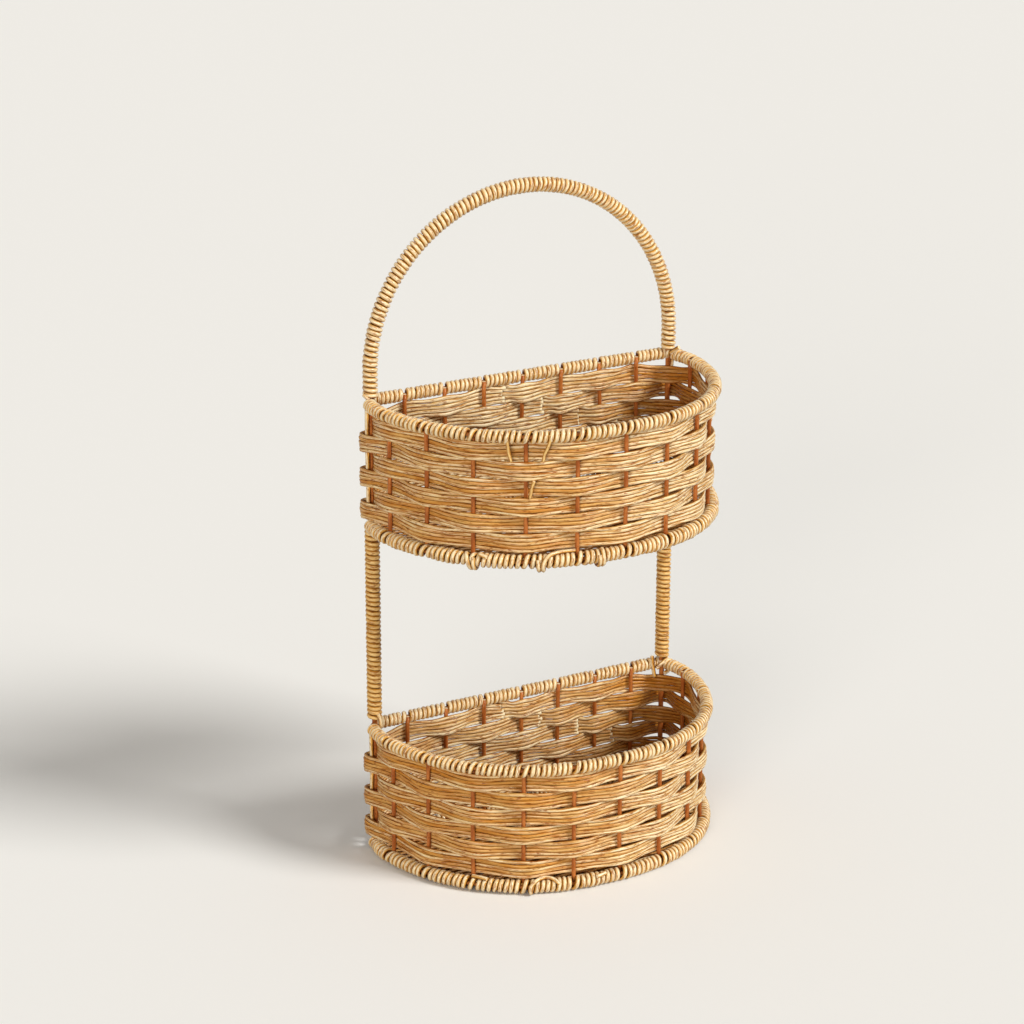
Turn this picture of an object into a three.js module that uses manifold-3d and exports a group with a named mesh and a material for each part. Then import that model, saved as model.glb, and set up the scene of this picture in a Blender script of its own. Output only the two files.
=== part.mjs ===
// A two-tier hanging basket: two half-round baskets of split-cane bands woven through wire stakes,
// carried one above the other by a single wire hanger that arches over the top.
// Millimetres, +Z up. X runs along the wall, the straight backs face +Y, the round fronts face -Y.
// The origin is the middle of the footprint, on the surface that the part stands on.
import * as THREE from 'three';
import { mergeVertices } from 'three/addons/utils/BufferGeometryUtils.js';
import Module from 'manifold-3d';

const wasm = await Module();
wasm.setup();

// Rim outline, measured along the middle of the wrapped rim.
const rimHalfWidth = 148.4; // of the front curve, before its sides are drawn in to the corners
const rimDepth = 160.7; // from the straight back to the front
const frontSquareness = 2.25; // exponent of the front curve, where 2 is an ellipse
const cornerRadius = 6.5; // bend of each back corner, just over the wrapped rim's own radius
const cornerReach = 3; // of the corner beyond the middle of the leg that stands in it
const sideLean = 16; // degrees, of the sides where they leave the corners
const legSetIn = 8.4; // from that half width in to the middle of each leg

// Heights.
const rimToRim = 102.3; // one basket, from its bottom rim to its top rim
const tierSpacing = 280; // from the lower basket to the upper one
const archRise = 160; // crown of the hanger above the upper top rim
const archLeg = 24; // straight part of the hanger above the upper top rim
const legFoot = 1.5; // lower ends of the hanger above the standing surface

// Wires, cords and bands.
const hangerWire = 4.4; // diameters
const hangerWrap = 12.9;
const rimWire = 3.2;
const rimWrap = 11;
const stakeWire = 3;
const bandThickness = 3;
const floorThickness = 3;
const windingWidth = 4; // cord of the arch, along the wire
const windingTurns = 100;

// Counts and spaces.
const frontStakes = 11;
const backStakes = 7;
const legGap = 31; // along the back, from a leg to the nearest stake
const rightGap = 37; // along the rim, from the straight back to the nearest front stake
const leftGap = 46;
const rowsPerBasket = 6;
const rowGap = 0.6; // between two woven rows
const lowestGap = 2.4; // left free above the bottom rim
const lapColumns = 4; // the laps of the rows step over this many back stakes
const firstLap = 3; // back stake, from the left, where the top row is lapped
const lapTail = 0.3; // start of a row before its lap stake, as a share of the gap between back stakes
const lapRise = 0.55; // where the start comes inward after that stake, as such a share
const lapEnd = 0.5; // end of the row after that stake, as such a share
const cornerLoop = 9; // from a leg to the middle of a band that passes outside it
const clearance = 0.3; // between pieces that touch

// Facets.
const rodSides = 6;
const wrapSides = 8;
const frontSteps = 24;
const cornerSteps = 4;
const archSteps = 40;
const stepsPerGap = 3; // of a band, between two stakes
const stepsPerTurn = 8; // of the winding

// Colours.
const caneColour = 0xd9a866;
const cordColour = 0xe3bf82;
const wireColour = 0x7a3f24;

// Fits that follow from the sizes above.
const wrapRadius = rimWrap / 2;
const legRadius = hangerWire / 2;
const legInset = rimWire / 2 + legRadius + clearance; // a leg stands against the inside of the rim wire
const stakeInset = (rimWire + stakeWire) / 2; // and so does a stake
const legX = rimHalfWidth - legSetIn;
const cornerX = legX + cornerReach - cornerRadius;
const lowerRimZ = wrapRadius;
const upperRimZ = lowerRimZ + tierSpacing;
const crownZ = upperRimZ + rimToRim + archRise;
const rowPitch = (rimToRim - rimWrap - lowestGap) / rowsPerBasket;
const bandHeight = rowPitch - rowGap;
const bandReach = bandThickness / 2 + clearance; // from a wire's skin to the middle of a band
const layerStep = bandThickness + clearance; // between the two layers of a lap
const backGap = (2 * (legX - legGap)) / (backStakes - 1);

// Where the sides leave the back corners, and how they are drawn in to meet them.
const lean = THREE.MathUtils.degToRad(sideLean);
const sideX = cornerX + cornerRadius * Math.cos(lean);
const sideY = -cornerRadius * (1 - Math.sin(lean));
const sideTuck = rimHalfWidth - sideX;
const tuckDepth = (2 * sideTuck) / Math.tan(lean);

// Front of the rim, from its right end to its left: a superellipse whose sides are drawn in.
class FrontCurve extends THREE.Curve {
  getPoint(t) {
    const angle = Math.PI * t;
    const power = 2 / frontSquareness;
    const side = Math.sign(Math.cos(angle));
    const across = rimHalfWidth * Math.abs(Math.cos(angle)) ** power;
    const depth = (rimDepth + sideY) * Math.abs(Math.sin(angle)) ** power;
    const tuck = sideTuck * Math.max(0, 1 - depth / tuckDepth) ** 2;
    return new THREE.Vector2(side * (across - tuck), sideY - depth);
  }
}

// A route with one step for each given point.
class Route extends THREE.Curve {
  constructor(points) {
    super();
    this.points = points;
    this.steps = points.length - 1;
  }

  getPoint(t) {
    return this.points[Math.round(t * this.steps)].clone();
  }

  getPointAt(u) {
    return this.getPoint(u);
  }

  getTangentAt(u) {
    const at = Math.round(u * this.steps);
    const ahead = this.points[Math.min(at + 1, this.steps)];
    const behind = this.points[Math.max(at - 1, 0)];
    return ahead.clone().sub(behind).normalize();
  }
}

// The rim, clockwise from above: along the back from the left corner, then round the front.
const back = new THREE.LineCurve(new THREE.Vector2(-cornerX, 0), new THREE.Vector2(cornerX, 0));
const rightCorner = new THREE.EllipseCurve(
  cornerX, -cornerRadius, cornerRadius, cornerRadius, Math.PI / 2, lean, true);
const front = new FrontCurve();
const leftCorner = new THREE.EllipseCurve(
  -cornerX, -cornerRadius, cornerRadius, cornerRadius, Math.PI - lean, Math.PI / 2, true);
const rim = new THREE.CurvePath();
for (const piece of [back, rightCorner, front, leftCorner]) rim.add(piece);
const rimLength = rim.getLength();
const backLength = back.getLength();
const cornerLength = rightCorner.getLength();
const frontLength = front.getLength();

// Outward direction at a distance along the rim.
function outwardAt(distance) {
  const ahead = rim.getTangent((distance % rimLength) / rimLength);
  return new THREE.Vector3(-ahead.y, ahead.x, 0);
}

// Point at a distance along the rim, moved inward.
function onRim(distance, inset = 0) {
  const point = rim.getPoint((distance % rimLength) / rimLength);
  return new THREE.Vector3(point.x, point.y, 0).addScaledVector(outwardAt(distance), -inset);
}

// Distances along the rim that its bends need, from the joint in its back round to it again.
function rimStations() {
  const joint = backLength / 4;
  const distances = [joint + clearance / 2];
  const addSteps = (start, length, steps) => {
    for (let i = 0; i < steps; i += 1) distances.push(start + (length * i) / steps);
  };
  const frontStart = backLength + cornerLength;
  addSteps(backLength, cornerLength, cornerSteps);
  addSteps(frontStart, frontLength, frontSteps);
  addSteps(frontStart + frontLength, cornerLength, cornerSteps);
  distances.push(rimLength, rimLength + joint - clearance / 2);
  return distances;
}

// The ring of uprights that a band is woven through, in the order of the rim.
function uprightRing() {
  const ring = [];
  const addLeg = (side) => {
    const middle = new THREE.Vector3(side * legX, -legInset, 0);
    const outward = new THREE.Vector3(side, 1, 0).normalize();
    ring.push({ middle, outward, radius: legRadius, leg: true });
  };
  const addStake = (distance, name) => {
    const middle = onRim(distance, stakeInset);
    ring.push({ distance, middle, outward: outwardAt(distance), radius: stakeWire / 2, name });
  };
  const frontGap = (rimLength - backLength - rightGap - leftGap) / (frontStakes - 1);
  addLeg(-1);
  for (let i = 0; i < backStakes; i += 1) {
    addStake(cornerX - legX + legGap + backGap * i, `back_stake_${i + 1}`);
  }
  addLeg(1);
  for (let i = 0; i < frontStakes; i += 1) {
    addStake(backLength + rightGap + frontGap * i, `front_stake_${frontStakes - i}`);
  }
  return ring;
}

const ring = uprightRing();

// Regular outline with flats that face along both axes, and an optional bore.
function roundSection(radius, sides, bore = 0) {
  const corners = (apothem) => Array.from({ length: sides }, (_, i) => {
    const angle = ((i + 0.5) * 2 * Math.PI) / sides;
    const reach = apothem / Math.cos(Math.PI / sides);
    return new THREE.Vector2(reach * Math.cos(angle), reach * Math.sin(angle));
  });
  const shape = new THREE.Shape(corners(radius));
  if (bore > 0) shape.holes.push(new THREE.Path(corners(bore)));
  return shape;
}

function rectangleSection(width, height) {
  const shape = new THREE.Shape();
  shape.moveTo(-width / 2, -height / 2);
  shape.lineTo(width / 2, -height / 2);
  shape.lineTo(width / 2, height / 2);
  shape.lineTo(-width / 2, height / 2);
  return shape;
}

function sweep(shape, points) {
  const extrudePath = new Route(points);
  return new THREE.ExtrudeGeometry(shape, { steps: extrudePath.steps, extrudePath });
}

function rise(shape, height) {
  return new THREE.ExtrudeGeometry(shape, { depth: height, bevelEnabled: false });
}

// Boolean cuts.
function toSolid(geometry) {
  const bare = geometry.clone();
  bare.deleteAttribute('normal');
  bare.deleteAttribute('uv');
  const merged = mergeVertices(bare, 1e-4);
  return new wasm.Manifold(new wasm.Mesh({
    numProp: 3,
    vertProperties: new Float32Array(merged.attributes.position.array),
    triVerts: new Uint32Array(merged.index.array),
  }));
}

function toGeometry(solid) {
  const mesh = solid.getMesh();
  const geometry = new THREE.BufferGeometry();
  geometry.setAttribute('position', new THREE.BufferAttribute(mesh.vertProperties, mesh.numProp));
  geometry.setIndex(new THREE.BufferAttribute(mesh.triVerts, 1));
  geometry.computeVertexNormals();
  return geometry;
}

// Materials.
function cane() {
  return new THREE.MeshStandardMaterial({ color: caneColour, roughness: 0.55, metalness: 0 });
}

function cord() {
  return new THREE.MeshStandardMaterial({ color: cordColour, roughness: 0.5, metalness: 0 });
}

function coatedWire() {
  return new THREE.MeshStandardMaterial({ color: wireColour, roughness: 0.45, metalness: 0 });
}

const basket = new THREE.Group();

function addPiece(name, geometry, material, z = 0) {
  const mesh = new THREE.Mesh(geometry, material);
  mesh.name = name;
  mesh.position.z = z;
  basket.add(mesh);
}

// Hanger: one wire from foot to foot, over the arch. Its route is drawn in the plane of the legs.
const archBase = upperRimZ + rimToRim + archLeg;

function hangerRoute(startZ) {
  const route = new THREE.CurvePath();
  const leftLeg = new THREE.LineCurve(new THREE.Vector2(-legX, startZ), new THREE.Vector2(-legX, archBase));
  const arch = new THREE.EllipseCurve(0, archBase, legX, crownZ - archBase, Math.PI, 0, true);
  const rightLeg = new THREE.LineCurve(new THREE.Vector2(legX, archBase), new THREE.Vector2(legX, startZ));
  for (const piece of [leftLeg, arch, rightLeg]) route.add(piece);
  return route;
}

function inHangerPlane(point) {
  return new THREE.Vector3(point.x, -legInset, point.y);
}

function addHanger() {
  const [leftLeg, arch, rightLeg] = hangerRoute(legFoot).curves;
  const points = [leftLeg.v1, ...arch.getPoints(archSteps), rightLeg.v2].map(inHangerPlane);
  addPiece('hanger_hoop', sweep(roundSection(legRadius, wrapSides), points), coatedWire());
}

// Cord wound round the arch: one unbroken tube of diamond section on a helix.
function windingRings() {
  const startZ = upperRimZ + rimToRim + wrapRadius + clearance + windingWidth / 2;
  const route = hangerRoute(startZ);
  const facetInset = Math.cos(Math.PI / stepsPerTurn);
  const inner = (legRadius / Math.cos(Math.PI / wrapSides) + clearance) / facetInset;
  const outer = hangerWrap / 2;
  const steps = windingTurns * stepsPerTurn;
  const depthwise = new THREE.Vector3(0, 1, 0);
  return Array.from({ length: steps + 1 }, (_, i) => {
    const middle = inHangerPlane(route.getPoint(i / steps));
    const along = route.getTangent(i / steps);
    const ahead = new THREE.Vector3(along.x, 0, along.y);
    const sideways = new THREE.Vector3().crossVectors(depthwise, ahead);
    const angle = (2 * Math.PI * i) / stepsPerTurn;
    const outward = sideways.multiplyScalar(Math.cos(angle)).addScaledVector(depthwise, Math.sin(angle));
    const centre = middle.clone().addScaledVector(outward, (inner + outer) / 2);
    return [
      middle.clone().addScaledVector(outward, outer),
      centre.clone().addScaledVector(ahead, -windingWidth / 2),
      middle.clone().addScaledVector(outward, inner),
      centre.clone().addScaledVector(ahead, windingWidth / 2),
    ];
  });
}

// Least distance between the corners of one turn and those of the next.
function leastGap(rings) {
  let least = Infinity;
  for (let i = 0; i + stepsPerTurn - 1 < rings.length; i += 1) {
    const nextTurn = rings.slice(i + stepsPerTurn - 1, i + stepsPerTurn + 2).flat();
    for (const point of rings[i]) {
      for (const other of nextTurn) least = Math.min(least, point.distanceTo(other));
    }
  }
  return least;
}

function loft(rings) {
  const sides = rings[0].length;
  const index = [];
  for (let i = 0; i + 1 < rings.length; i += 1) {
    for (let j = 0; j < sides; j += 1) {
      const next = (j + 1) % sides;
      const here = i * sides;
      const there = here + sides;
      index.push(here + j, here + next, there + next, here + j, there + next, there + j);
    }
  }
  const last = (rings.length - 1) * sides;
  for (let j = 1; j + 1 < sides; j += 1) {
    index.push(0, j + 1, j);
    index.push(last, last + j, last + j + 1);
  }
  const geometry = new THREE.BufferGeometry().setFromPoints(rings.flat());
  geometry.setIndex(index);
  geometry.computeVertexNormals();
  return geometry;
}

function addHangerWraps() {
  const rings = windingRings();
  console.log(`arch_wrap least gap to itself ${leastGap(rings).toFixed(2)} mm`);
  addPiece('arch_wrap', loft(rings), cord());
  const bottom = lowerRimZ + rimToRim + wrapRadius + clearance;
  const top = upperRimZ - wrapRadius - clearance;
  const sleeve = roundSection(hangerWrap / 2, wrapSides, legRadius + clearance);
  for (const [name, side] of [['left_leg_wrap', -1], ['right_leg_wrap', 1]]) {
    const geometry = rise(sleeve, top - bottom);
    geometry.translate(side * legX, -legInset, 0);
    addPiece(name, geometry, cord(), bottom);
  }
}

// Rims: wrapped wire rings, notched from inside where the hanger's legs stand in their corners.
function legSeat(side, opening) {
  const inward = new THREE.Vector2(-side, -1).normalize();
  const corners = roundSection(legRadius + clearance, wrapSides).getPoints();
  for (const corner of corners.filter((point) => point.dot(inward) > 0)) {
    corner.addScaledVector(inward, opening);
  }
  return new THREE.Shape(corners);
}

function cutForLegs(solid, opening, footZ = -rimWrap) {
  return [-1, 1].reduce((rest, side) => {
    const geometry = rise(legSeat(side, opening), rimWrap - footZ);
    geometry.translate(side * legX, -legInset, footZ);
    return rest.subtract(toSolid(geometry));
  }, solid);
}

function rimGeometry(footZ) {
  const points = rimStations().map((distance) => onRim(distance));
  const solid = toSolid(sweep(roundSection(wrapRadius, wrapSides), points));
  return toGeometry(cutForLegs(solid, rimWrap, footZ));
}

// Woven band: it passes inside and outside the uprights in turn and is lapped on the back wall.
function weavePoint(place, side) {
  const reach = place.leg && side > 0 ? cornerLoop : place.radius + bandReach;
  return place.middle.clone().addScaledVector(place.outward, side * reach);
}

function lapPoint(stake, share, offset) {
  return onRim(stake.distance + backGap * share, stakeInset - offset);
}

function bandRoute(row) {
  const lap = firstLap + (row % lapColumns);
  const stake = ring[lap];
  const behind = stake.radius + bandReach;
  const controls = [
    lapPoint(stake, -lapTail, behind + layerStep),
    lapPoint(stake, 0, behind + layerStep),
    lapPoint(stake, lapRise, layerStep + clearance),
  ];
  for (let i = lap + 1; i <= lap + ring.length; i += 1) {
    const place = ring[i % ring.length];
    const side = (i + row) % 2 === 0 ? -1 : 1;
    controls.push(weavePoint(place, side));
  }
  controls.push(lapPoint(stake, lapEnd, 0));
  const curve = new THREE.CatmullRomCurve3(controls);
  return curve.getPoints((controls.length - 1) * stepsPerGap);
}

// Floor: a mat inside the bottom rim, notched round the hanger's legs.
function floorGeometry() {
  const edge = rimStations().map((distance) => onRim(distance, wrapRadius + clearance));
  const geometry = rise(new THREE.Shape(edge), floorThickness);
  geometry.translate(0, 0, -floorThickness / 2);
  return toGeometry(cutForLegs(toSolid(geometry), 0));
}

function addBasket(tier, rimZ) {
  const footZ = Math.max(legFoot - clearance - rimZ, -rimWrap); // the legs end inside the lowest rim
  addPiece(`${tier}_bottom_rim`, rimGeometry(footZ), cord(), rimZ);
  addPiece(`${tier}_top_rim`, rimGeometry(), cord(), rimZ + rimToRim);
  addPiece(`${tier}_floor`, floorGeometry(), cane(), rimZ);

  const stakeHeight = rimToRim - rimWrap - 2 * clearance;
  for (const place of ring.filter((upright) => !upright.leg)) {
    const geometry = rise(roundSection(place.radius, rodSides), stakeHeight);
    geometry.translate(place.middle.x, place.middle.y, 0);
    addPiece(`${tier}_${place.name}`, geometry, coatedWire(), rimZ + wrapRadius + clearance);
  }

  const section = rectangleSection(bandHeight, bandThickness);
  for (let row = 0; row < rowsPerBasket; row += 1) {
    const z = rimZ + rimToRim - wrapRadius - rowPitch * (row + 0.5);
    addPiece(`${tier}_band_${row + 1}`, sweep(section, bandRoute(row)), cane(), z);
  }
}

addHanger();
addHangerWraps();
addBasket('upper', upperRimZ);
addBasket('lower', lowerRimZ);

// The footprint's middle goes to the origin.
basket.position.y = rimDepth / 2;

export default basket;
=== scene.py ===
import math

import bpy
import numpy as np
from mathutils import Matrix, Vector


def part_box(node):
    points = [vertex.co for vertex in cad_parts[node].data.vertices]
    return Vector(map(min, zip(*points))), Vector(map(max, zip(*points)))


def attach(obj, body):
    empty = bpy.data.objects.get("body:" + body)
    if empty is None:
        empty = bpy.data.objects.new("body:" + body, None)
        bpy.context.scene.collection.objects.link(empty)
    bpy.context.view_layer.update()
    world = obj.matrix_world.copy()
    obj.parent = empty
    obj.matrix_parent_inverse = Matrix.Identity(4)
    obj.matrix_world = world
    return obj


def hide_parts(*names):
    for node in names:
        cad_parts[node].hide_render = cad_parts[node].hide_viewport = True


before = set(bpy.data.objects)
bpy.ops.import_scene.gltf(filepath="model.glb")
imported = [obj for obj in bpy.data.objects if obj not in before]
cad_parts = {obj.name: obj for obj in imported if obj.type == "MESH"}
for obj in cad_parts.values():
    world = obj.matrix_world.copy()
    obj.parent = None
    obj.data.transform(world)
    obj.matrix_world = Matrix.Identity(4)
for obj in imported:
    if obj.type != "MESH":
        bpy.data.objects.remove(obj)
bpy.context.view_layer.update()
chance = np.random.default_rng(11)  # every uneven turn, drift and tone is drawn from this seed
upward = np.array((0.0, 0.0, 1.0))
wallward = np.array((0.0, 1.0, 0.0))
tiers = ("upper", "lower")
print("frame loaded,", len(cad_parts), "nodes")


# Sizes and places read from the frame
def middleOf(node):
    low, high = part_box(node)
    return np.array((low + high) / 2)


def extentOf(node):
    low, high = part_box(node)
    return np.array(high - low)


rimLow, rimHigh = (np.array(corner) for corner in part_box("upper_top_rim"))
wrapRadius = (rimHigh[2] - rimLow[2]) / 2
backY = rimHigh[1] - wrapRadius
frontY = rimLow[1] + wrapRadius
legX, legY = middleOf("right_leg_wrap")[:2]
hangerRadius = extentOf("hanger_hoop")[1] / 2
hangerWrapRadius = extentOf("right_leg_wrap")[0] / 2
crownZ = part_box("hanger_hoop")[1][2] - hangerRadius
stakeRadius = extentOf("upper_back_stake_1")[1] / 2


# Length along a line, from its start to each of its points.
def distanceAlong(points):
    steps = np.linalg.norm(np.diff(points, axis=0), axis=1)
    return np.concatenate(([0.0], np.cumsum(steps)))


# Each vector divided by its length.
def unit(vectors):
    return vectors / np.linalg.norm(vectors, axis=1)[:, None]


# The same line with points at equal steps along its length.
def evenly(points, count):
    distance = distanceAlong(points)
    wanted = np.linspace(0.0, distance[-1], count)
    return np.stack([np.interp(wanted, distance, column) for column in points.T], axis=1)


rimShape = {
    "halfWidth": 0.1484, "squareness": 2.25,       # superellipse of the front curve
    "cornerRadius": 0.0065, "cornerReach": 0.003,  # back corners, reaching past the legs
    "sideLean": 16.0,                              # degrees, where the sides leave the corners
    "backPoints": 300, "cornerPoints": 60, "frontPoints": 1200, "points": 2400,
}


# Rim outline clockwise from above: straight back, arc, superellipse whose sides are drawn in by the
# square of their nearness to the corners, arc.
def rimOutline():
    radius, lean = rimShape["cornerRadius"], math.radians(rimShape["sideLean"])
    cornerX = legX + rimShape["cornerReach"] - radius
    sideX, sideY = cornerX + radius * math.cos(lean), backY - radius * (1 - math.sin(lean))
    power, half = 2 / rimShape["squareness"], np.linspace(0, math.pi, rimShape["frontPoints"])
    depth = (sideY - frontY) * np.abs(np.sin(half)) ** power
    tuck = rimShape["halfWidth"] - sideX
    near = np.maximum(0, 1 - depth * math.tan(lean) / (2 * tuck))
    across = rimShape["halfWidth"] * np.abs(np.cos(half)) ** power - tuck * near ** 2
    turn = np.linspace(math.pi / 2, lean, rimShape["cornerPoints"])
    backX = np.linspace(-cornerX, cornerX, rimShape["backPoints"])
    back = np.stack((backX, np.full(len(backX), backY)), axis=1)
    right = np.stack((cornerX + radius * np.cos(turn), backY - radius + radius * np.sin(turn)), axis=1)
    front = np.stack((np.sign(np.cos(half)) * across, sideY - depth), axis=1)
    left = right[::-1] * (-1, 1)
    return evenly(np.concatenate((back, right[1:], front[1:], left[1:])), rimShape["points"])


rimPath = rimOutline()
rimDistance = distanceAlong(rimPath)
rimLength = rimDistance[-1]
rimAhead = unit(np.gradient(rimPath, axis=0))
rimOut = np.stack((-rimAhead[:, 1], rimAhead[:, 0]), axis=1)


# Outward direction at distances along the rim, read between its points.
def outAt(distance):
    place = np.mod(distance, rimLength)
    out = np.stack([np.interp(place, rimDistance, column) for column in rimOut.T], axis=1)
    return np.column_stack((unit(out), np.zeros(len(out))))


# Points at distances along the rim, moved outward and lifted to a height.
def onRim(distance, outward, height):
    place = np.mod(distance, rimLength)
    flat = np.stack([np.interp(place, rimDistance, column) for column in rimPath.T], axis=1)
    level = np.column_stack((flat, np.zeros(len(flat))))
    return level + outAt(distance) * np.reshape(outward, (-1, 1)) + np.reshape(height, (-1, 1)) * upward


# Distance along the rim of its point nearest to a place.
def placeOnRim(point):
    return rimDistance[np.argmin(np.linalg.norm(rimPath - point[:2], axis=1))]


# The ring of uprights in the order of the rim: left leg, back stakes, right leg, front stakes.
backStakes, frontStakes = 7, 11
stakeNames = [f"back_stake_{i + 1}" for i in range(backStakes)]
stakeNames += [f"front_stake_{i + 1}" for i in range(frontStakes)]
legPlace = placeOnRim(np.array((legX, legY)))
backLength = 2 * (legX + rimShape["cornerReach"] - rimShape["cornerRadius"])
ring = []
for side, legDistance in ((-1, backLength - legPlace), (1, legPlace)):
    ring.append({"distance": legDistance, "middle": np.array((side * legX, legY)),
                 "out": np.array((side, 1)) / math.sqrt(2), "leg": True})
for stakeName in stakeNames:
    stakeMiddle = middleOf("upper_" + stakeName)[:2]
    stakePlace = placeOnRim(stakeMiddle)
    stakeOut = outAt(np.array((stakePlace,)))[0, :2]
    ring.append({"distance": stakePlace, "middle": stakeMiddle, "out": stakeOut, "leg": False})
ring.sort(key=lambda upright: upright["distance"])
leftLeg, rightLeg = ring[0], ring[backStakes + 1]
backRing = ring[1:backStakes + 1]
backGap = backRing[1]["distance"] - backRing[0]["distance"]
print("ring of", len(ring), "uprights, rim length", round(rimLength, 4))


# Shader maths: a socket whose operators add Math nodes, and one method for any other node
class Value:
    def __init__(self, tree, socket=None):
        self.tree = tree
        self.socket = socket

    def node(self, kind, settings, sockets, out=0):
        made = self.tree.nodes.new(kind)
        for key, setting in settings.items():
            setattr(made, key, setting)
        for key, value in sockets.items():
            if isinstance(value, Value):
                self.tree.links.new(value.socket, made.inputs[key])
            else:
                made.inputs[key].default_value = value
        return Value(self.tree, made.outputs[out])

    def maths(self, operation, first, second=0.0, clamp=False):
        settings = {"operation": operation, "use_clamp": clamp}
        return self.node("ShaderNodeMath", settings, {0: first, 1: second})

    def __add__(self, other):
        return self.maths("ADD", self, other)

    def __radd__(self, other):
        return self.maths("ADD", other, self)

    def __sub__(self, other):
        return self.maths("SUBTRACT", self, other)

    def __rsub__(self, other):
        return self.maths("SUBTRACT", other, self)

    def __mul__(self, other):
        return self.maths("MULTIPLY", self, other)

    def __rmul__(self, other):
        return self.maths("MULTIPLY", other, self)

    def clamped(self):
        return self.maths("ADD", self, 0.0, True)

    def mix(self, first, second):
        return self.node("ShaderNodeMix", {"data_type": "RGBA"}, {0: self, 6: first, 7: second}, 2)

    def step(self, low, high):
        sockets = {"Value": self, "From Min": low, "From Max": high}
        return self.node("ShaderNodeMapRange", {"interpolation_type": "SMOOTHSTEP"}, sockets)

    def into(self, shader, socket):
        self.tree.links.new(self.socket, shader.inputs[socket])


# Linear colour from the levels of a screen colour.
def srgb(red, green, blue):
    levels = np.array((red, green, blue)) / 255
    linear = np.where(levels <= 0.04045, levels / 12.92, ((levels + 0.055) / 1.055) ** 2.4)
    return (*map(float, linear), 1.0)


strandBase = {
    "specular": 0.05, "grainRoughness": 0.6,
    "toneStride": 71.0,  # how far the tones lie apart in the noise, so that strands differ
}


# A new material with its shader, and what every strand carries: length along, turn around and tone.
def startFinish(name, look):
    material = bpy.data.materials.new(name)
    material.use_nodes = True
    tree = material.node_tree
    shader = tree.nodes["Principled BSDF"]
    shader.inputs["Specular IOR Level"].default_value = strandBase["specular"]
    shader.inputs["Coat Weight"].default_value = look["coat"]
    shader.inputs["Coat Roughness"].default_value = look["coatRoughness"]
    base = Value(tree)
    lie = base.node("ShaderNodeUVMap", {"uv_map": "lie"}, {})
    along = base.node("ShaderNodeSeparateXYZ", {}, {0: lie}, 0)
    around = base.node("ShaderNodeSeparateXYZ", {}, {0: lie}, 1)
    tone = base.node("ShaderNodeAttribute", {"attribute_name": "tone"}, {}, "Fac")
    return material, shader, (base, along, around, tone)


# Noise drawn out along a strand: cells per metre along it, cells in a turn around it, detail, and a
# shift that sets it apart from the strand's other grains.
def grain(strand, perMetre, perTurn, detail, shift):
    base, along, around, tone = strand
    depth = (tone + shift) * strandBase["toneStride"]
    vector = base.node("ShaderNodeCombineXYZ", {}, {0: along * perMetre, 1: around * perTurn, 2: depth})
    sockets = {"Vector": vector, "Scale": 1.0, "Detail": detail, "Roughness": strandBase["grainRoughness"]}
    return base.node("ShaderNodeTexNoise", {}, sockets)


def roughen(shader, height, look):
    sockets = {"Strength": look["bump"], "Distance": look["bumpDepth"], "Height": height}
    height.node("ShaderNodeBump", {}, sockets).into(shader, "Normal")


caneLook = {
    "honey": srgb(196, 129, 43), "cream": srgb(228, 187, 110), "pale": srgb(243, 229, 192),
    "brown": srgb(134, 67, 9), "valleyShade": srgb(98, 42, 4),
    # grains: cells per metre, cells in a turn, detail, shift
    "streak": (40.0, 4.0, 4.0, 0.0), "line": (70.0, 17.0, 3.0, 1.3), "fleck": (170.0, 9.0, 2.0, 3.7),
    # levels between which each colour comes in, and how much of it
    "creamFrom": (0.38, 0.66), "creamLostByTone": 0.5, "creamByPaintedLight": 0.35,
    # painted highlight on the strands' crests: pale lines, stronger on strands of low tone and with the
    # painted light
    "ridgeFade": (0.1, 0.8), "paleLine": (0.38, 0.6),
    "highlightFade": (0.1, 0.9), "wornAndHighlight": 0.8, "highlightByPaintedLight": 1.1,
    "brownLine": (0.5, 0.36), "brownLines": 0.6, "fleckFrom": (0.56, 0.66), "flecks": 0.8,
    "shadeFrom": (0.0, -0.8), "shade": 0.42,  # painted shade: brown where the painted light is below nought
    # painted shade in the valleys between strands, lessened along the cream streaks
    "valleyFrom": (0.6, 1.0), "valleyFade": (0.3, 0.65), "valleyLost": 0.6,
    "tipFrom": (1.2, 1.7),  # the level that only cut tips have
    "coat": 0.3, "coatRoughness": 0.24, "roughness": 0.24, "streakRough": 0.2, "fleckRough": 0.18,
    "streakRelief": 0.4, "fleckRelief": 0.3, "lineRelief": 0.3, "bump": 0.5, "bumpDepth": 0.0003,
}
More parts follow.
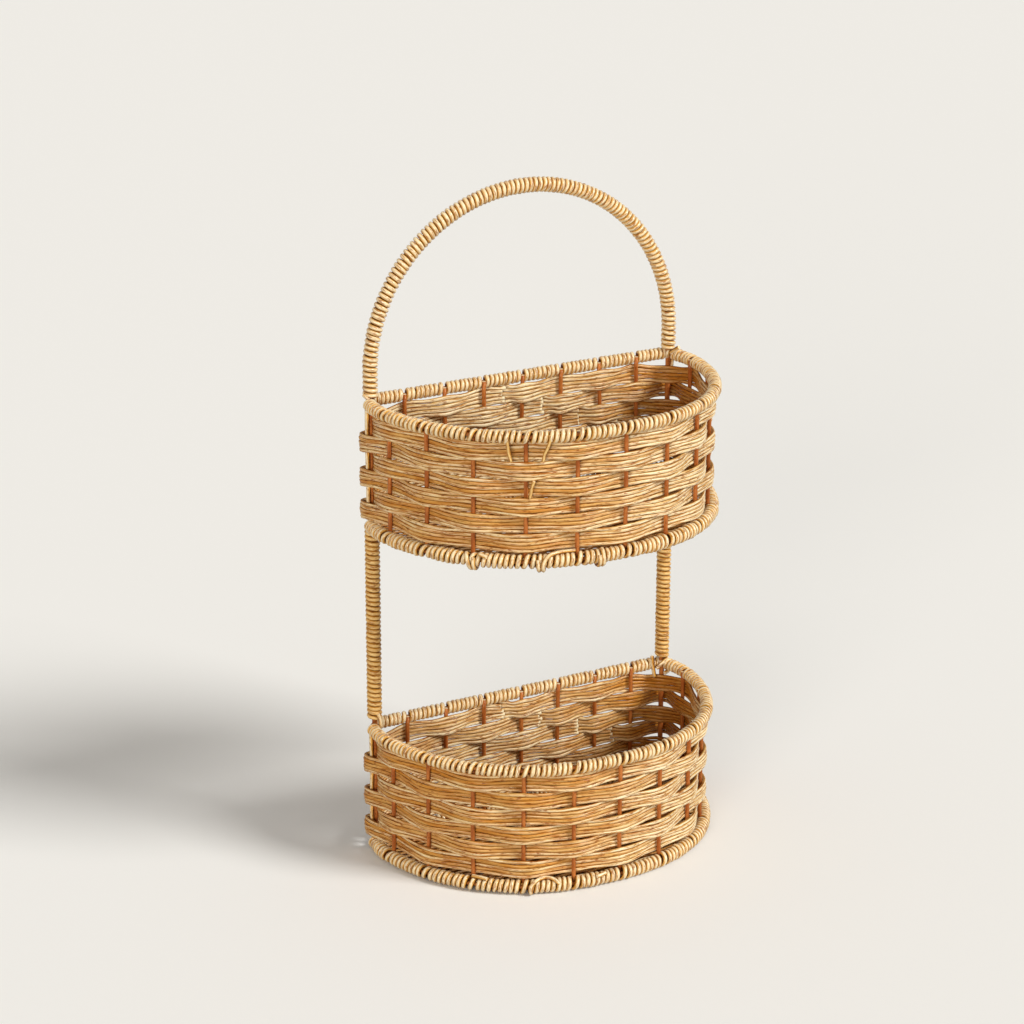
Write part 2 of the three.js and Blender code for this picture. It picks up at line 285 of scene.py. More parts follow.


# Split cane: streaks of honey and cream along each strand, fine brown lines and brown flecks. Painted on it
# are light and shade: more cream where walls face the lamps, pale highlight lines on the crests, brown
# shade in the right corner, and a darker shade in the valley where it meets the next strand.
def caneFinish():
    look = caneLook
    material, shader, strand = startFinish("split_cane", look)
    base, _, around, tone = strand
    streak, line, fleck = (grain(strand, *look[name]) for name in ("streak", "line", "fleck"))
    paintedLightAndTips = base.node("ShaderNodeAttribute", {"attribute_name": "paintedLightAndTips"}, {}, "Fac")
    groove = base.maths("COSINE", around * (4 * math.pi)) * -0.5 + 0.5  # one where strands meet
    cream = streak.step(*look["creamFrom"]) * (1.0 - tone * look["creamLostByTone"])
    # painted light: more cream where the walls face the lamps
    colour = (cream + paintedLightAndTips * look["creamByPaintedLight"]).clamped().mix(look["honey"], look["cream"])
    # painted highlight: pale lines on the crest of each strand, more on strands of low tone and where the
    # painted light is strong
    wornAndHighlight = (1.0 - tone.step(*look["highlightFade"])) * look["wornAndHighlight"] + paintedLightAndTips * look["highlightByPaintedLight"]
    crestHighlight = (1.0 - groove.step(*look["ridgeFade"])) * (wornAndHighlight * line.step(*look["paleLine"])).clamped()
    colour = crestHighlight.mix(colour, look["pale"])
    colour = (line.step(*look["brownLine"]) * look["brownLines"]).mix(colour, look["brown"])
    colour = (fleck.step(*look["fleckFrom"]) * look["flecks"]).mix(colour, look["brown"])
    # painted shade: brown in the right corner, where the painted light is below nought
    colour = (paintedLightAndTips.step(*look["shadeFrom"]) * look["shade"]).mix(colour, look["brown"])
    # painted shade: darker where each strand meets the next
    valleyShade = groove.step(*look["valleyFrom"])
    deep = valleyShade * (1.0 - streak.step(*look["valleyFade"]) * look["valleyLost"])
    colour = deep.mix(colour, look["valleyShade"])
    colour = paintedLightAndTips.step(*look["tipFrom"]).mix(colour, look["pale"])
    colour.into(shader, "Base Color")
    ((1.0 - valleyShade) * look["coat"]).into(shader, "Coat Weight")
    rough = streak * look["streakRough"] + fleck * look["fleckRough"] + look["roughness"]
    rough.into(shader, "Roughness")
    height = streak * look["streakRelief"] + fleck * look["fleckRelief"] + line * look["lineRelief"]
    roughen(shader, height, look)
    return material


woundCord = {
    "streak": (120.0, 5.0, 3.0, 0.0), "fleck": (230.0, 9.0, 2.0, 5.1),
    # painted highlight on each turn's ridge and painted shade between the turns: the levels of the groove
    # where they change
    "sideFrom": (0.0, 0.22), "side": 0.9, "strawLevel": 0.55, "strawByStreak": 1.8,
    "fleckFrom": (0.5, 0.66), "flecks": 0.8, "valleyFrom": (0.3, 0.6), "valleyDepth": 0.95,
    "roughness": 0.2, "streakRough": 0.2, "fleckRough": 0.2,
    "streakRelief": 0.6, "fleckRelief": 0.4, "bump": 0.4, "bumpDepth": 0.0003,
}
cordLook = woundCord | {
    "straw": srgb(210, 157, 70), "cream": srgb(240, 222, 182),
    "brown": srgb(148, 84, 20), "valleyShade": srgb(108, 52, 6),
    "coat": 0.8, "coatRoughness": 0.22,
}
goldenLook = woundCord | {
    "straw": srgb(194, 136, 52), "cream": srgb(232, 196, 130),
    "brown": srgb(138, 74, 14), "valleyShade": srgb(104, 48, 6),
    "coat": 0.35, "coatRoughness": 0.26,
}


# Wound cord: painted highlight in cream on the ridge of each turn, straw on its sides, painted shade in
# brown between the turns.
def cordFinish(name, look):
    material, shader, strand = startFinish(name, look)
    base, _, around, _ = strand
    streak, fleck = (grain(strand, *look[kind]) for kind in ("streak", "fleck"))
    groove = base.maths("COSINE", around * (2 * math.pi)) * 0.5 + 0.5  # nought on the ridge
    # painted highlight: cream on the ridge, straw further down the sides and along the darker streaks
    side = groove.step(*look["sideFrom"]) * look["side"]
    straw = (side + (look["strawLevel"] - streak) * look["strawByStreak"]).clamped()
    colour = straw.mix(look["cream"], look["straw"])
    colour = (fleck.step(*look["fleckFrom"]) * look["flecks"]).mix(colour, look["brown"])
    # painted shade: brown down between the turns
    valleyShade = groove.step(*look["valleyFrom"])
    colour = (valleyShade * look["valleyDepth"]).mix(colour, look["valleyShade"])
    colour.into(shader, "Base Color")
    ((1.0 - valleyShade) * look["coat"]).into(shader, "Coat Weight")
    rough = streak * look["streakRough"] + fleck * look["fleckRough"] + look["roughness"]
    rough.into(shader, "Roughness")
    roughen(shader, streak * look["streakRelief"] + fleck * look["fleckRelief"], look)
    return material


wireLook = {
    "brown": srgb(156, 84, 36), "dark": srgb(92, 42, 14), "wornAndHighlight": srgb(194, 120, 60),
    "cloud": (60.0, 2.0, 3.0, 0.0), "speck": (420.0, 6.0, 2.0, 1.9),
    "wornFrom": (0.35, 0.7), "speckFrom": (0.56, 0.72), "specks": 0.6,
    "coat": 0.25, "coatRoughness": 0.2, "roughness": 0.2, "cloudRough": 0.25, "speckRough": 0.1,
    "bump": 0.25, "bumpDepth": 0.0002,
}


# Brown coated wire: clouds of worn coating and dark specks.
def wireFinish():
    look = wireLook
    material, shader, strand = startFinish("brown_coating", look)
    cloud, speck = (grain(strand, *look[name]) for name in ("cloud", "speck"))
    colour = cloud.step(*look["wornFrom"]).mix(look["brown"], look["wornAndHighlight"])
    colour = (speck.step(*look["speckFrom"]) * look["specks"]).mix(colour, look["dark"])
    colour.into(shader, "Base Color")
    rough = cloud * look["cloudRough"] + speck * look["speckRough"] + look["roughness"]
    rough.into(shader, "Roughness")
    roughen(shader, speck, look)
    return material


cutLook = {
    "pale": srgb(244, 226, 188), "core": srgb(206, 158, 96), "coreFrom": (0.45, 0.75),
    "pith": 2600.0, "pithDetail": 2.0,  # cells per metre
    "coat": 0.0, "coatRoughness": 0.3, "roughness": 0.7,
}


# Cut end of a strand: pale, with a browner pith.
def cutFinish():
    look = cutLook
    material, shader, strand = startFinish("cut_ends", look)
    shader.inputs["Roughness"].default_value = look["roughness"]
    base = strand[0]
    place = base.node("ShaderNodeTexCoord", {}, {}, "Object")
    sockets = {"Vector": place, "Scale": look["pith"], "Detail": look["pithDetail"]}
    pith = base.node("ShaderNodeTexNoise", {}, sockets)
    pith.step(*look["coreFrom"]).mix(look["pale"], look["core"]).into(shader, "Base Color")
    return material


cane, coating, cutEnd = caneFinish(), wireFinish(), cutFinish()
cord, goldenCord = cordFinish("wound_cord", cordLook), cordFinish("golden_cord", goldenLook)
print("finishes made")


# Tubes and pieces
# Ellipse carried along a path: middle + side x thick x cos + lift x wide x sin, where the side
# leans to the hint, the lift is square to side and path, and the seam lies away from the hint.
def tube(path, hint, thick, wide, sides, closed=False, tone=None, paintedLightAndTips=0.0):
    ahead = np.gradient(path, axis=0)
    if closed:
        ahead = np.roll(path, -1, axis=0) - np.roll(path, 1, axis=0)
    ahead = unit(ahead)
    lift = unit(np.cross(ahead, np.broadcast_to(hint, path.shape)))
    side = np.cross(lift, ahead)
    angle = math.pi + 2 * math.pi * np.arange(sides) / sides
    rings = path[:, None] + (thick * side[:, None] * np.cos(angle)[:, None]
                             + wide * lift[:, None] * np.sin(angle)[:, None])
    tone = chance.uniform() if tone is None else tone
    return {"rings": rings, "distance": distanceAlong(path), "closed": closed, "tone": tone,
            "paintedLightAndTips": np.broadcast_to(paintedLightAndTips, len(path))}


# Quads between neighbouring rings, and a flat cut across each open end.
def tubeFaces(made, start):
    count, sides = made["rings"].shape[:2]
    spans = count if made["closed"] else count - 1
    row, column = np.meshgrid(np.arange(spans), np.arange(sides), indexing="ij")
    ahead, beside = (row + 1) % count, (column + 1) % sides
    corners = (row * sides + column, row * sides + beside, ahead * sides + beside, ahead * sides + column)
    quads = np.stack(corners, axis=-1).reshape(-1, 4) + start
    length = made["distance"]
    lap = length[-1] + np.linalg.norm(made["rings"][-1, 0] - made["rings"][0, 0])
    far = np.where(row + 1 == count, lap, length[ahead])
    near = length[row]
    here, there = column / sides, (column + 1) / sides
    lie = np.stack((near, here, near, there, far, there, far, here), axis=-1).reshape(-1, 2)
    if made["closed"]:
        return quads, lie, []
    first = start + np.arange(sides)[::-1]
    last = start + (count - 1) * sides + np.arange(sides)
    return quads, lie, [first.tolist(), last.tolist()]


# One mesh of many tubes, with the way each strand lies as its UV map, and as attributes its tone and
# its painted light and shade, which also marks the cut tips.
def addPiece(name, tubes, finish, nodes=()):
    points, quads, caps, lies, tones, paintedLightAndTipValues, start = [], [], [], [], [], [], 0
    for made in tubes:
        tubeQuads, lie, tubeCaps = tubeFaces(made, start)
        flat = made["rings"].reshape(-1, 3)
        points.append(flat)
        quads.append(tubeQuads)
        lies.append(lie)
        caps += tubeCaps
        tones.append(np.full(len(flat), made["tone"]))
        paintedLightAndTipValues.append(np.repeat(made["paintedLightAndTips"], made["rings"].shape[1]))
        start += len(flat)
    quads = np.concatenate(quads)
    capLies = np.zeros((sum(map(len, caps)), 2))
    mesh = bpy.data.meshes.new(name)
    mesh.from_pydata(np.concatenate(points), [], quads.tolist() + caps)
    capped = np.concatenate((np.zeros(len(quads), int), np.ones(len(caps), int)))
    mesh.polygons.foreach_set("material_index", capped)
    mesh.polygons.foreach_set("use_smooth", capped == 0)
    mesh.uv_layers.new(name="lie").uv.foreach_set("vector", np.concatenate(lies + [capLies]).ravel())
    for label, values in (("tone", tones), ("paintedLightAndTips", paintedLightAndTipValues)):
        mesh.attributes.new(label, "FLOAT", "POINT").data.foreach_set("value", np.concatenate(values))
    mesh.materials.append(finish)
    mesh.materials.append(cutEnd)
    piece = bpy.data.objects.new(name, mesh)
    bpy.context.collection.objects.link(piece)
    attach(piece, "root")
    if nodes:
        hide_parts(*nodes)


driftSines = {"share": np.array((1.0, 0.6, 0.35)), "perWave": np.array((1.0, 1.7, 2.9))}


# Slow uneven drift along a length: three sines of random phase, the longest of the given wave.
def drift(distance, amount, wave):
    share = driftSines["share"]
    phase = chance.uniform(0, 2 * math.pi, len(share))
    waves = wave / driftSines["perWave"]
    sines = np.sin(2 * math.pi * np.reshape(distance, (-1, 1)) / waves + phase)
    return amount * (sines * share).sum(axis=1) / share.sum()


# Smooth line through given points: a cubic between neighbours whose slopes at the points
# come from the three nearest ones, weighted by the root of their spacing.
def smoothThrough(points, perSpan):
    points = np.asarray(points, float)
    ends = (2 * points[0] - points[1], 2 * points[-1] - points[-2])
    padded = np.concatenate((ends[:1], points, ends[1:]))
    spacing = np.sqrt(np.linalg.norm(np.diff(padded, axis=0), axis=1))[:, None]
    before, span, after = spacing[:-2], spacing[1:-1], spacing[2:]
    a, b, c, d = padded[:-3], padded[1:-2], padded[2:-1], padded[3:]
    startSlope = span * ((b - a) / before - (c - a) / (before + span) + (c - b) / span)
    endSlope = span * ((c - b) / span - (d - b) / (span + after) + (d - c) / after)
    t = np.linspace(0, 1, perSpan, endpoint=False)[None, :, None]
    b, c, startSlope, endSlope = (value[:, None] for value in (b, c, startSlope, endSlope))
    cubic = (2 * t**3 - 3 * t**2 + 1) * b + (t**3 - 2 * t**2 + t) * startSlope
    cubic = cubic + (3 * t**2 - 2 * t**3) * c + (t**3 - t**2) * endSlope
    return np.concatenate((cubic.reshape(-1, points.shape[1]), points[-1:]))


# Chance offset of every whole turn, read between the turns.
def unevenTurns(turn, amount):
    whole = np.arange(int(turn[-1]) + 2)
    return np.interp(turn, whole, chance.normal(0, amount, len(whole)))


# Cord wound round a core: middle + radius x (out x sin + up x cos) as the turns go on.
def windCord(middle, out, up, turn, radius, settings):
    angle = 2 * math.pi * turn[:, None]
    lean = out * np.sin(angle) + up * np.cos(angle)
    path = middle + lean * np.reshape(radius, (-1, 1))
    return tube(path, lean, settings["thick"], settings["wide"], settings["sides"])


# Rims
rimCord = {
    "pitch": 0.0042, "thick": 0.0019, "wide": 0.00198,
    "bottomFuller": 0.0005,                   # the bottom rims' winding stands further out and up
    "stakeBreak": 0.0033, "legBreak": 0.006,  # half the break in the even winding at an upright
    "crossFrom": -0.15, "crossTo": 0.65,      # turns between which the cord crosses that break
    "cornerTurns": 1,                         # turns more round the corner at the right leg
    "uneven": 0.00026, "unevenDepth": 0.00013, "fullerUneven": 0.25,
    "stepsPerTurn": 16, "sides": 8, "wire": 0.0016, "wirePoints": 360, "wireSides": 8,
}


# Distance along the rim against turns: even turns between uprights, most of a turn across each stake
# on the outer side, and more round the corner at the right leg.
def rimTurns():
    turns, places, turn = [], [], rimCord["crossTo"]
    crossing = rimCord["crossTo"] - rimCord["crossFrom"]
    stops = ring + [{"distance": leftLeg["distance"] + rimLength, "leg": True}]
    for here, there in zip(stops[:-1], stops[1:]):
        start = here["distance"] + rimCord["legBreak" if here["leg"] else "stakeBreak"]
        end = there["distance"] - rimCord["legBreak" if there["leg"] else "stakeBreak"]
        count = round((end - start) / rimCord["pitch"] - 1 + crossing) + 1 - crossing
        turns += [turn, turn + count]
        places += [start, end]
        turn += count + crossing + (rimCord["cornerTurns"] if there["leg"] else 0)
    return np.array(turns), np.array(places)


# One rim: cord wound round the outline, turn by turn, and the wire inside it.
def addRim(node):
    rimZ = middleOf(node)[2]
    turnKnots, placeKnots = rimTurns()
    steps = int((turnKnots[-1] - turnKnots[0]) * rimCord["stepsPerTurn"])
    turn = np.linspace(turnKnots[0], turnKnots[-1], steps)
    place = np.interp(turn, turnKnots, placeKnots) + unevenTurns(turn, rimCord["uneven"])
    fuller = rimCord["bottomFuller"] if "bottom" in node else 0.0
    radius = wrapRadius + fuller - rimCord["thick"]
    radius = radius + unevenTurns(turn, rimCord["unevenDepth"] + fuller * rimCord["fullerUneven"])
    middle = onRim(place, 0.0, rimZ + fuller)
    winding = windCord(middle, outAt(place), upward, turn, radius, rimCord)
    addPiece(node + "_winding", [winding], cord, (node,))
    around = np.linspace(0, rimLength, rimCord["wirePoints"], endpoint=False)
    wire = tube(onRim(around, 0.0, rimZ), outAt(around), rimCord["wire"], rimCord["wire"],
                rimCord["wireSides"], True)
    addPiece(node + "_wire", [wire], coating)


for tier in tiers:
    addRim(tier + "_top_rim")
    addRim(tier + "_bottom_rim")
print("rims wound")


# Hanger
hanger = {
    "archLeg": 0.024,     # straight part above the upper top rim
    "archLower": 0.0025,  # the arch's winding runs on down behind the rims
    "archPitch": 0.0042, "legPitch": 0.0040, "thick": 0.0021, "wide": 0.00194,
    "uneven": 0.0002, "unevenDepth": 0.0001, "stepsPerTurn": 16, "sides": 8, "rodSides": 12,
    "archPoints": 400, "rodPoints": 500, "measurePoints": 2000,
}
archBase = middleOf("upper_top_rim")[2] + hanger["archLeg"]


# Hanger from foot to foot: left leg, half ellipse over the top, right leg, in the plane of the legs.
def hangerLine(startZ, count):
    half = np.linspace(math.pi, 0, hanger["archPoints"])
    arch = np.stack((legX * np.cos(half), archBase + (crownZ - archBase) * np.sin(half)), axis=1)
    flat = evenly(np.concatenate(([(-legX, startZ)], arch, [(legX, startZ)])), count)
    return np.stack((flat[:, 0], np.full(count, legY), flat[:, 1]), axis=1)


# Even turns along a straight or bent core, each a little off its place.
def windAlong(line, turns):
    turn = np.linspace(0, turns, len(line))
    slip = unevenTurns(turn, hanger["uneven"])
    ahead = unit(np.gradient(line, axis=0))
    depthwise = np.broadcast_to(wallward, line.shape)
    out = np.cross(depthwise, ahead)
    radius = hangerWrapRadius - hanger["thick"] + unevenTurns(turn, hanger["unevenDepth"])
    return windCord(line + ahead * slip[:, None], out, depthwise, turn, radius, hanger)


# The bare rod from foot to foot, the winding of the arch, and a winding on each leg between the tiers.
def addHanger():
    line = hangerLine(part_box("hanger_hoop")[0][2], hanger["rodPoints"])
    rod = tube(line, wallward, hangerRadius, hangerRadius, hanger["rodSides"])
    addPiece("hanger_rod", [rod], coating, ("hanger_hoop",))
    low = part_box("arch_wrap")[0][2] + hanger["wide"] / 2 - hanger["archLower"]
    length = distanceAlong(hangerLine(low, hanger["measurePoints"]))[-1]
    turns = round(length / hanger["archPitch"])
    arch = windAlong(hangerLine(low, turns * hanger["stepsPerTurn"] + 1), turns)
    addPiece("arch_winding", [arch], cord, ("arch_wrap",))
    for side in ("left", "right"):
        node = side + "_leg_wrap"
        low, high = (corner[2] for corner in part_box(node))
        turns = round((high - low - hanger["wide"]) / hanger["legPitch"])
        line = np.tile(middleOf(node), (turns * hanger["stepsPerTurn"] + 1, 1))
        line[:, 2] = np.linspace(low + hanger["wide"] / 2, high - hanger["wide"] / 2, len(line))
        addPiece(side + "_leg_winding", [windAlong(line, turns)], goldenCord, (node,))


addHanger()
print("hanger wound")


# Stakes
stakes = {"below": 0.002, "above": 0.0014, "bow": 0.0004, "points": 14, "sides": 10}


# Each stake is a rod from rim to rim, bowed sideways by half a sine.
def addStakes(tier):
    bottom = middleOf(tier + "_bottom_rim")[2] - stakes["below"]
    top = middleOf(tier + "_top_rim")[2] + stakes["above"]
    for stakeName in stakeNames:
        node = f"{tier}_{stakeName}"
        bow = chance.normal(0, stakes["bow"], 2)
        line = np.tile(middleOf(node), (stakes["points"], 1))
        line[:, 2] = np.linspace(bottom, top, stakes["points"])
        line[:, :2] += bow * np.sin(np.linspace(0, math.pi, stakes["points"]))[:, None]
        rod = tube(line, wallward, stakeRadius, stakeRadius, stakes["sides"])
        addPiece(node + "_rod", [rod], coating, (node,))


for tier in tiers:
    addStakes(tier)
print("stakes set")


# Bands
bands = {
    "rows": 6, "thickness": 0.003, "clearance": 0.0003,
    "cornerLoop": 0.009,  # how far a row stands off a leg that it passes outside
    "lapColumns": 4, "firstLap": 3, "lapTail": 0.3, "lapRise": 0.55, "lapEnd": 0.5,
    "strands": 5, "strandThick": 0.00138, "strandWide": 0.53,  # half width as a share of the pitch
    # a band fans out where it rounds an upright, more on the back wall: distances along the rim, how much
    "fanPlaces": (0.0, 0.04, 0.24, 0.28), "fan": (0.11, 0.24, 0.24, 0.11),
    "crown": 0.0006, "ragged": 0.0022, "perSpan": 8, "sides": 8,
    "wander": 0.00045, "wanderWave": 0.14, "uneven": 0.00026, "heightWave": 0.05, "depthWave": 0.04,
    "sagReach": 0.026, "leftSag": 0.0058, "rightSag": 0.0042, "lowestSag": 0.5,  # slipped down the legs
    # edge strands draw a lower tone, which paints them paler: painted light on the bands' edges
    "edgeTone": (0.0, 0.5), "innerTone": (0.25, 1.0), "cutTipLevel": 2.0,
    # painted light and shade: walls that face the lamps are painted paler, the shaded right corner darker:
    # distance along the rim, reach, how pale
    "paintedLightAndTips": {"upper": ((0.1, 0.1, 1.1), (0.31, 0.055, -0.8), (0.42, 0.09, 1.15)),
               "lower": ((0.1, 0.1, 0.6), (0.31, 0.055, -0.8), (0.42, 0.09, 1.1))},
}


# Route of one row: inside and outside the uprights in turn, with its ends lapped on the back wall.
# Each point holds x, y, the side of the weave and the distance along the rim.
def bandRoute(row):
    reach = bands["thickness"] / 2 + bands["clearance"]
    layer = bands["thickness"] + bands["clearance"]
    lap = bands["firstLap"] + row % bands["lapColumns"]
    start = ring[lap]
    behind = stakeRadius + reach

    def lapPoint(share, outward, laps):
        x, y = start["middle"] + outward * start["out"] + (backGap * share, 0.0)
        return x, y, outward / behind, start["distance"] + backGap * share + laps * rimLength

    controls = [lapPoint(-bands["lapTail"], behind + layer, 0), lapPoint(0.0, behind + layer, 0),
                lapPoint(bands["lapRise"], layer + bands["clearance"], 0)]
    for i in range(lap + 1, lap + len(ring) + 1):
        upright, laps = ring[i % len(ring)], i // len(ring)
        side = 1 if (i + row) % 2 else -1
        away = (hangerRadius if upright["leg"] else stakeRadius) + reach
        if upright["leg"] and side > 0:
            away = bands["cornerLoop"]
        controls.append((*(upright["middle"] + side * away * upright["out"]), side,
                         upright["distance"] + laps * rimLength))
    controls.append(lapPoint(bands["lapEnd"], 0.0, 1))
    return smoothThrough(controls, bands["perSpan"])


# Drop of a row near the legs: a bell round each leg, less in the lowest row, which the rim holds up.
def sag(row, place):
    near = np.mod(place + rimLength / 2, rimLength) - rimLength / 2
    left = bands["leftSag"] * np.exp(-((near - leftLeg["distance"]) / bands["sagReach"]) ** 2)
    right = bands["rightSag"] * np.exp(-((near - rightLeg["distance"]) / bands["sagReach"]) ** 2)
    return (left + right) * (bands["lowestSag"] if row == bands["rows"] - 1 else 1.0)


# One band: strands side by side up the route, crowned by the square of their distance from its middle,
# with a slow drift in height and depth. Its painted light and shade is a sum of bells along the rim, and
# its two ends are marked as cut tips.
def addBand(tier, row):
    node = f"{tier}_band_{row + 1}"
    route = bandRoute(row)
    flat, side = route[:, :2], np.clip(route[:, 2], -1, 1)
    level = middleOf(node)[2] - sag(row, route[:, 3])
    place = np.mod(route[:, 3], rimLength)
    fan = np.interp(place, bands["fanPlaces"], bands["fan"])
    pitch = extentOf(node)[2] / bands["strands"] * (1 + fan * side ** 2)
    wide = np.reshape(pitch * bands["strandWide"], (-1, 1, 1))
    # painted light and shade: paler where a wall faces the lamps, darker in the shaded right corner
    paintedLightAndTips = sum(strength * np.exp(-((place - spot) / reach) ** 2)
                 for spot, reach, strength in bands["paintedLightAndTips"][tier])
    paintedLightAndTips[[0, -1]] = bands["cutTipLevel"]
    ahead = unit(np.gradient(flat, axis=0))
    out = np.column_stack((-ahead[:, 1], ahead[:, 0], np.zeros(len(flat))))
    distance = distanceAlong(flat)
    sway = drift(distance, bands["wander"], bands["wanderWave"])
    middle = (bands["strands"] - 1) / 2
    strands = []
    for k in range(bands["strands"]):
        edge = abs(k - middle) / middle
        height = level + (k - middle) * pitch + sway
        height = height + drift(distance, bands["uneven"], bands["heightWave"])
        depth = drift(distance, bands["uneven"], bands["depthWave"]) - bands["crown"] * edge ** 2 * side
        line = np.column_stack((flat, height)) + out * depth[:, None]
        line[-1, :2] += ahead[-1] * chance.uniform(-1, 1) * bands["ragged"]
        # the edge strands draw a lower tone, so they are painted paler: painted light on the band's edges
        tone = chance.uniform(*bands["edgeTone" if edge == 1 else "innerTone"])
        strands.append(tube(line, out, bands["strandThick"], wide, bands["sides"], False, tone, paintedLightAndTips))
    addPiece(node + "_strands", strands, cane, (node,))


for tier in tiers:
    for row in range(bands["rows"]):
        addBand(tier, row)
print("bands woven")


# Loose cord ends and lashings, as points in millimetres: over a rim by the distance along it, out from
# its middle line and up from it; on a leg by x, y and z from the leg's middle at the rim's height
cordEnds = {
    "radius": 0.0017, "tailRadius": 0.00135, "perSpan": 8, "sides": 8,
    "unit": 0.001, "leastOut": 0.001,  # a millimetre; what keeps the hint of a cord under a rim from nought
    "tails": (
        ((620.2, 3, 1), (620.2, 3.4, -3.9), (619.6, 2, -10.2), (617.7, 1.6, -19.4)),
        ((587.9, 3.5, 2), (588.2, 3.5, -2.5), (590, 2.8, -8.5), (591.7, 2, -12.8), (593.1, 1.6, -19.4)),
        ((599.9, 1, -35.6), (601.8, 0.6, -42.1), (602.9, 0, -49.6)),
    ),
    "upper_bottom_rim": (
        ((566.2, -2.2, 6.7), (579.1, 0.1, 7.2), (587.7, 3.6, 6.4), (591.9, 6.3, 3), (593.4, 6.8, -1.7),
         (593, 4.6, -4.9), (592, 0.4, -6.7), (591.2, -3.6, -5.4)),
        ((652, 3, 6.6), (651, 5.8, 4), (649.6, 7, -0.6), (648.4, 4.7, -4.8), (647.6, 0.4, -6.6),
         (647, -3.6, -5.4)),
        ((545, 1.3, 6.9), (545.6, 6, 3.6), (545.4, 6.8, -2.6), (545.2, 4.6, -5), (545, 0.4, -6.7),
         (544.8, -3.6, -5.4)),
        ((641.5, 3.6, 6.2), (635.5, 5.2, 5)),
        ((597, 5.6, 3.6), (596.8, 6.8, -1.7), (596.2, 4.6, -4.9), (595.2, 0.4, -6.7), (594.4, -3.6, -5.4)),
        ((646, 4.4, 3.4), (645.8, 6.2, -0.6), (645.4, 4.6, -4.7), (645, 0.4, -6.5), (644.8, -3.6, -5.4)),
        ((548.4, 5.8, 3.4), (548.6, 6.8, -2), (548.4, 4.6, -4.9), (548, 0.4, -6.7), (547.8, -3.6, -5.4)),
    ),
    "lower_bottom_rim": (
        ((578.2, 5.9, 3.8), (583, 1.8, 6.9), (589.1, -0.6, 7.2), (596, 2.8, 6.6), (601, 6.3, 3),
         (601, 5.8, -2.6), (600.6, 3, -3.7)),
        ((648.5, 0.6, 7), (642.4, 1.6, 7.2), (636, 2.6, 6.8)),
        ((547, 5, 5), (538.4, 3.9, 6)),
    ),
    "left": {
        "upper_top_rim": (
            ((-6.2, -0.3, 7), (-4.8, -2.7, 5), (-2.5, -4.9, 2), (1, -6, -1)),
            ((-4.3, -2, -4), (-4.5, -2.1, -35), (-4.1, -2.2, -68), (-4.3, -2, -98)),
        ),
        "lower_top_rim": (
            ((-4, -0.6, -4), (-3.8, -1.4, -35), (-4.1, -0.6, -68), (-3.8, -1, -98)),
            ((-0.1, -6.4, 12.9), (1.4, -6.9, 8.3), (1.7, -7.8, 0.5)),
        ),
    },
    "right": {
        "upper_top_rim": (
            ((3.2, -11.6, 8.2), (1.2, -7.9, 5), (-0.7, -4.9, 1.9)),
            ((1.9, -3.5, -3), (1.7, -3.6, -5.8), (1, -3.9, -9.6)),
        ),
        "lower_top_rim": (
            ((3.1, -5.1, 6.8), (-2.2, -3.9, 1.8), (-6.6, -2.2, -2.9)),
            ((-10.9, -1.3, 9.2), (-10.8, -2.2, 2), (-9.3, -3.6, -9.7)),
            ((5, -3.3, -7), (0.5, -4.2, -8)),
        ),
    },
}


# The points of one cord in metres, joined to a smooth line.
def cordLine(points):
    return smoothThrough(np.array(points) * cordEnds["unit"], cordEnds["perSpan"])


# Cord over a rim, whose ridge looks away from the rim's middle line.
def overRim(node, points, radius):
    place, outward, up = cordLine(points).T
    path = onRim(place, outward, middleOf(node)[2] + up)
    away = np.maximum(outward, cordEnds["leastOut"])
    hint = outAt(place) * away[:, None] + np.maximum(up, 0)[:, None] * upward
    return tube(path, hint, radius, radius, cordEnds["sides"])


# Tails below the upper top rim, then the cords over the bottom rims and along the legs.
def addCordEnds():
    radius = cordEnds["radius"]
    tails = [overRim("upper_top_rim", points, cordEnds["tailRadius"]) for points in cordEnds["tails"]]
    addPiece("cord_tails", tails, goldenCord)
    cords = []
    for node in ("upper_bottom_rim", "lower_bottom_rim"):
        cords += [overRim(node, points, radius) for points in cordEnds[node]]
    for sign, leg in ((-1, "left"), (1, "right")):
        for node, lines in cordEnds[leg].items():
            for points in lines:
                offset = cordLine(points)
                path = offset + (sign * legX, legY, middleOf(node)[2])
                cords.append(tube(path, offset * (1, 1, 0), radius, radius, cordEnds["sides"]))
    addPiece("cord_ends", cords, cord)


addCordEnds()
print("cord ends laid")


# Floors
mat = {
    "strands": 46, "thick": 0.0009, "wire": 0.0009, "fan": 0.32,  # a strand is wider over a wire
    "edge": 0.003, "legRoom": 0.0085,  # how far strands stay inside the rim's line, and off the legs
    "uneven": 0.0002, "unevenWave": 0.06,
    "stepsPerGap": 8, "leastSteps": 8, "sides": 6, "wirePoints": 20, "wireSides": 8,
}


# The front's right half, from the corner to the middle, read across and from back to front.
frontHalf = rimPath[(rimPath[:, 0] >= 0) & (rimPath[:, 1] < backY - rimShape["cornerRadius"])]
frontArc = frontHalf[np.argmax(frontHalf[:, 0]):]


def halfWidthAt(y):
    return np.interp(-y, -frontHalf[:, 1], frontHalf[:, 0])


def frontYAt(x):
    return np.interp(-abs(x), -frontArc[:, 0], frontArc[:, 1])


